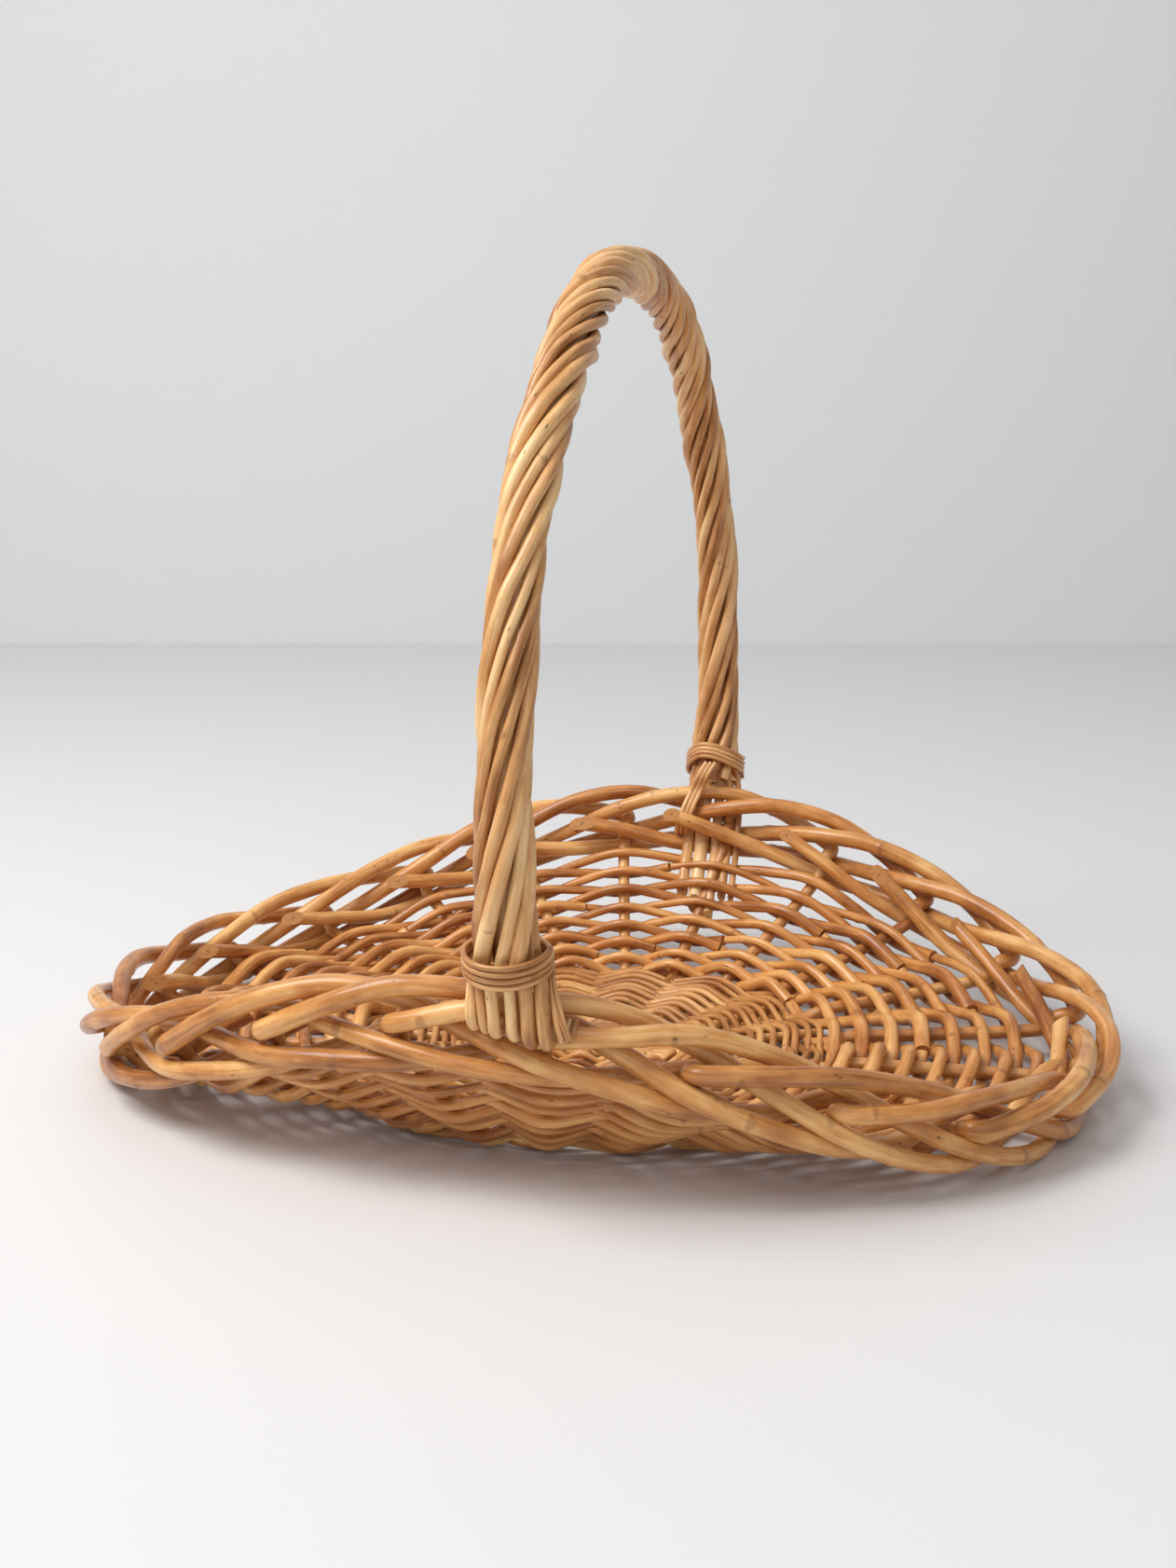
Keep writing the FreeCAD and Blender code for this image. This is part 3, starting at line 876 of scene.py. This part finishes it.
def far_rod(across, girth, shares):
    """A rod from inside the far collar, over the inner edge of the border and down inside the wall."""
    foot = bow_point(1)
    angle = math.pi / 2 - (foot.x + across) / FAR_WALL_BEND
    line = rim_line(angle)
    route = [Vector((foot.x + across * 0.7, foot.y - 4 * MM, foot.z + 12 * MM)),
             Vector((foot.x + across * 0.85, foot.y - 1 * MM, foot.z + 3 * MM)),
             Vector((foot.x + across, line.y + 11 * MM, line.z + 21 * MM)),
             Vector((foot.x + across, line.y + 4 * MM, line.z + 8 * MM)),
             Vector((foot.x + across, line.y + 0.5 * MM, line.z - 2 * MM))]
    for share in shares:
        point = wall_point(angle, share)
        point.x = foot.x + across
        route.append(point)
    return rod_of(route, girth, (0, -1, 0.3), 1.2)


near_radius = ROPED_RADIUS + 1.8 * LOOP_GIRTH + TIE_GIRTH
near_turns = collar_rods(collar_share, near_radius, 0.0, NEAR_TUCK)
near_piece = lay_rods("near_collar", near_turns, handle_willow, sides=10, swelling=0.06)
stand_for(near_piece, "handle_willow", "near_collar")
far_radius = ROPED_RADIUS + 1.2 * FOOT_ROD_GIRTH + TIE_GIRTH
far_turns = collar_rods(1 - collar_share, far_radius, FAR_KINK, 0.0)
far_piece = lay_rods("far_collar", far_turns, handle_willow, sides=10, swelling=0.06)
stand_for(far_piece, "handle_willow", "far_collar")

# A loop: where it starts and ends across the foot in mm, its size, and its depth in mm.
NEAR_LOOPS = [
    (-14.6, -13.6, 0.86, 13.5), (-11.2, -8.8, 0.70, 15), (-4.8, -4.4, 0.96, 16), (2.6, 3.0, 0.88, 17),
    (8.6, 9.8, 1.14, 19), (13.4, 16.4, 1.05, 19.5), (15.0, 22.4, 0.48, 17.5), (15.4, 25.2, 0.48, 17),
]
for number, members in ((1, NEAR_LOOPS[:4]), (2, NEAR_LOOPS[4:])):
    name = "near_foot_rod_%d" % number
    loops = [near_loop(start * MM, end * MM, LOOP_GIRTH * size, depth)
             for start, end, size, depth in members]
    piece = lay_rods(name, loops, handle_willow, sides=14, spacing=1.4 * MM, swelling=0.06)
    stand_for(piece, "handle_willow", name)

# A far rod: its place across the foot in mm, its size, and how many wall stops it reaches.
WALL_STOPS = [0.86, 0.76, 0.66, 0.57, 0.48]
FAR_RODS = [(-12.5, 1.08, 3), (-4.4, 1.30, 4), (4.2, 0.95, 5), (11.0, 0.80, 3), (16.6, 0.60, 3)]
TIES = 3
TIE_STEP = 2.7 * MM
far_rods = [far_rod(across * MM, FOOT_ROD_GIRTH * size, WALL_STOPS[:count])
            for across, size, count in FAR_RODS]
foot = bow_point(1)
line = rim_line(math.pi / 2 - foot.x / FAR_WALL_BEND)
ties = []
for step in range(TIES):
    x = foot.x - 2 * MM - step * TIE_STEP
    route = [Vector((x + 5 * MM, foot.y - 14 * MM, foot.z + 15 * MM)),
             Vector((x + 1 * MM, foot.y - 17 * MM, foot.z + 8 * MM)),
             Vector((x - 3 * MM, foot.y - 15 * MM, line.z + 33 * MM)),
             Vector((x - 7 * MM, line.y - 3 * MM, line.z + 23 * MM)),
             Vector((x - 11 * MM, line.y - 3.5 * MM, line.z + 11 * MM)),
             Vector((x - 12 * MM, line.y + 5 * MM, line.z + 5 * MM))]
    ties.append(rod_of(route, TIE_GIRTH * 1.12))
for number, members in ((1, far_rods), (2, ties)):
    name = "far_foot_rod_%d" % number
    piece = lay_rods(name, members, handle_willow, sides=12, spacing=1.8 * MM, swelling=0.06)
    stand_for(piece, "handle_willow", name)

# ------------------------------------------------------------------ floor, light and camera
# The basket stands on a plain pale floor before a pale wall, in soft daylight that
# comes from high on the left.

VIEW_AROUND = math.radians(12.872)
VIEW_TURN = math.radians(0.114)
VIEW_DOWN = math.radians(10.977)
VIEW_DISTANCE = 0.9149
VIEW_HEIGHT = 0.3196
VIEW_LENS = 43.30
WALL_DISTANCE = 1.80
FLOOR_REACH = 7
WALL_REACH = 5
WALL_HEIGHT = 4


def plain(name, colour, roughness):
    material = bpy.data.materials.new(name)
    material.use_nodes = True
    shader = material.node_tree.nodes["Principled BSDF"]
    shader.inputs["Base Color"].default_value = (*colour, 1)
    shader.inputs["Roughness"].default_value = roughness
    return material


def stage_sheet(name, corners, material):
    mesh = bpy.data.meshes.new(name)
    mesh.from_pydata(corners, [], [(0, 1, 2, 3)])
    mesh.materials.append(material)
    sheet = bpy.data.objects.new(name, mesh)
    bpy.context.collection.objects.link(sheet)


floor_corners = [(x * FLOOR_REACH, y * FLOOR_REACH, 0) for x, y in ((-1, -1), (1, -1), (1, 1), (-1, 1))]
stage_sheet("floor", floor_corners, plain("floor paint", (0.72, 0.715, 0.72), 0.6))
away = Vector((-math.sin(VIEW_AROUND), math.cos(VIEW_AROUND), 0))
aside = Vector((away.y, -away.x, 0))
wall_corners = [away * WALL_DISTANCE + aside * reach + Vector((0, 0, top))
                for reach, top in ((-WALL_REACH, 0), (WALL_REACH, 0),
                                   (WALL_REACH, WALL_HEIGHT), (-WALL_REACH, WALL_HEIGHT))]
stage_sheet("wall", wall_corners, plain("wall paint", (0.76, 0.77, 0.78), 0.7))


def soft_light(name, place, aim, width, height, power, colour):
    lamp = bpy.data.lights.new(name, "AREA")
    lamp.shape = "RECTANGLE"
    lamp.size = width
    lamp.size_y = height
    lamp.energy = power
    lamp.color = colour
    holder = bpy.data.objects.new(name, lamp)
    holder.location = place
    holder.rotation_euler = (Vector(aim) - Vector(place)).to_track_quat("-Z", "Y").to_euler()
    bpy.context.collection.objects.link(holder)


soft_light("window", (-1.0, -0.75, 1.8), (0, -0.1, 0.1), 1.2, 1.2, 43, (1.0, 0.98, 0.95))
soft_light("room", (0.9, -2.4, 2.2), (0, 0, 0.1), 3.0, 2.0, 16, (1.0, 0.99, 0.98))
soft_light("wall wash", (-0.3, 0.5, 2.6), (-0.5, 2.0, 0.6), 2.5, 0.8, 6, (1.0, 1.0, 1.0))

world = bpy.data.worlds.new("studio")
world.use_nodes = True
world.node_tree.nodes["Background"].inputs["Color"].default_value = (0.93, 0.95, 0.97, 1)
world.node_tree.nodes["Background"].inputs["Strength"].default_value = 0.40
bpy.context.scene.world = world

lens = bpy.data.cameras.new("camera")
lens.sensor_width = 36
lens.lens = VIEW_LENS
camera = bpy.data.objects.new("camera", lens)
camera.location = (VIEW_DISTANCE * math.sin(VIEW_AROUND), -VIEW_DISTANCE * math.cos(VIEW_AROUND), VIEW_HEIGHT)
camera.rotation_euler = (math.pi / 2 - VIEW_DOWN, 0, VIEW_AROUND + VIEW_TURN)
bpy.context.collection.objects.link(camera)
bpy.context.scene.camera = camera
bpy.context.scene.view_settings.view_transform = "Standard"
